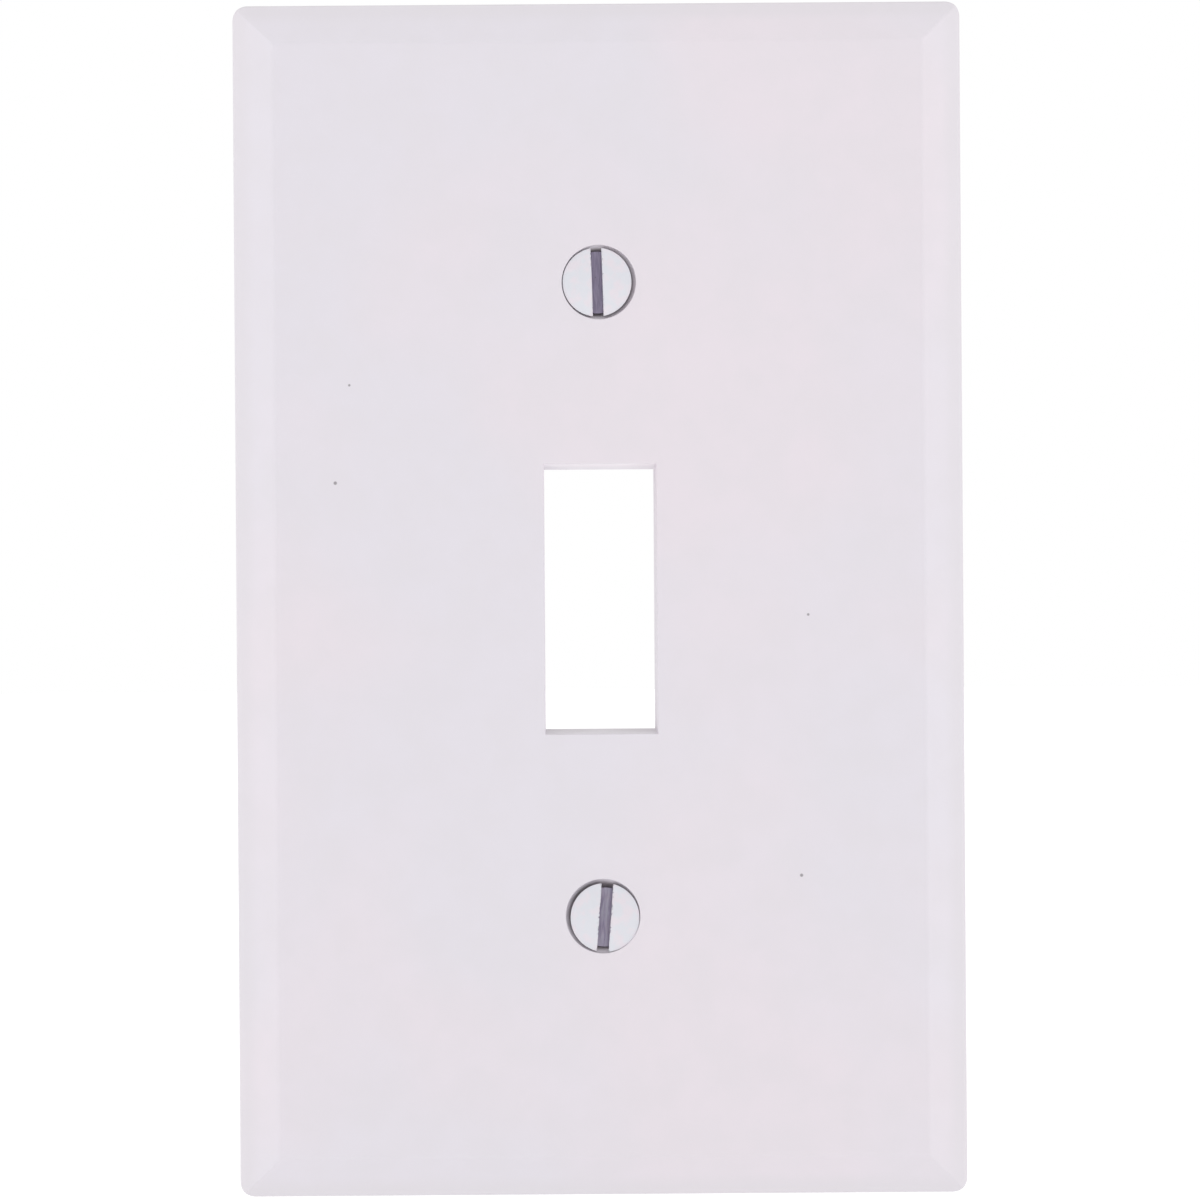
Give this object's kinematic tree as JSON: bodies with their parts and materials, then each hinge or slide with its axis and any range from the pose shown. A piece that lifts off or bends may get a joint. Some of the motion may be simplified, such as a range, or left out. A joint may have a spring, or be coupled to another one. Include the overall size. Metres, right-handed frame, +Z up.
{
  "type": "toggle switch wall plate",
  "caption": "Upright moulded wall plate for a toggle light switch, with sloping edges, a hollow back and slotted oval-head screws in countersunk holes.",
  "frame": {"origin": "centre of the toggle opening on the plane of the wall, which is the plane of the plate's rear rim", "axes": "+Z up the plate, +Y back into the wall, so that the front faces -Y, and +X to the right seen from the front"},
  "size_m": [0.0698, 0.0132, 0.1142],
  "materials": {
    "plate_plastic": "satin",
    "painted_screw": "satin"
  },
  "bodies": {
    "plate": {"cover_plate": "plate_plastic"},
    "upper_screw": {"upper_screw": "painted_screw"},
    "lower_screw": {"lower_screw": "painted_screw"}
  },
  "joints": [
    {"name": "upper_screw_slide", "type": "slide", "parent": "plate", "child": "upper_screw", "axis": [0, -1, 0], "range_m": [0, 0.0108]},
    {"name": "lower_screw_slide", "type": "slide", "parent": "plate", "child": "lower_screw", "axis": [0, -1, 0], "range_m": [0, 0.0108]}
  ]
}
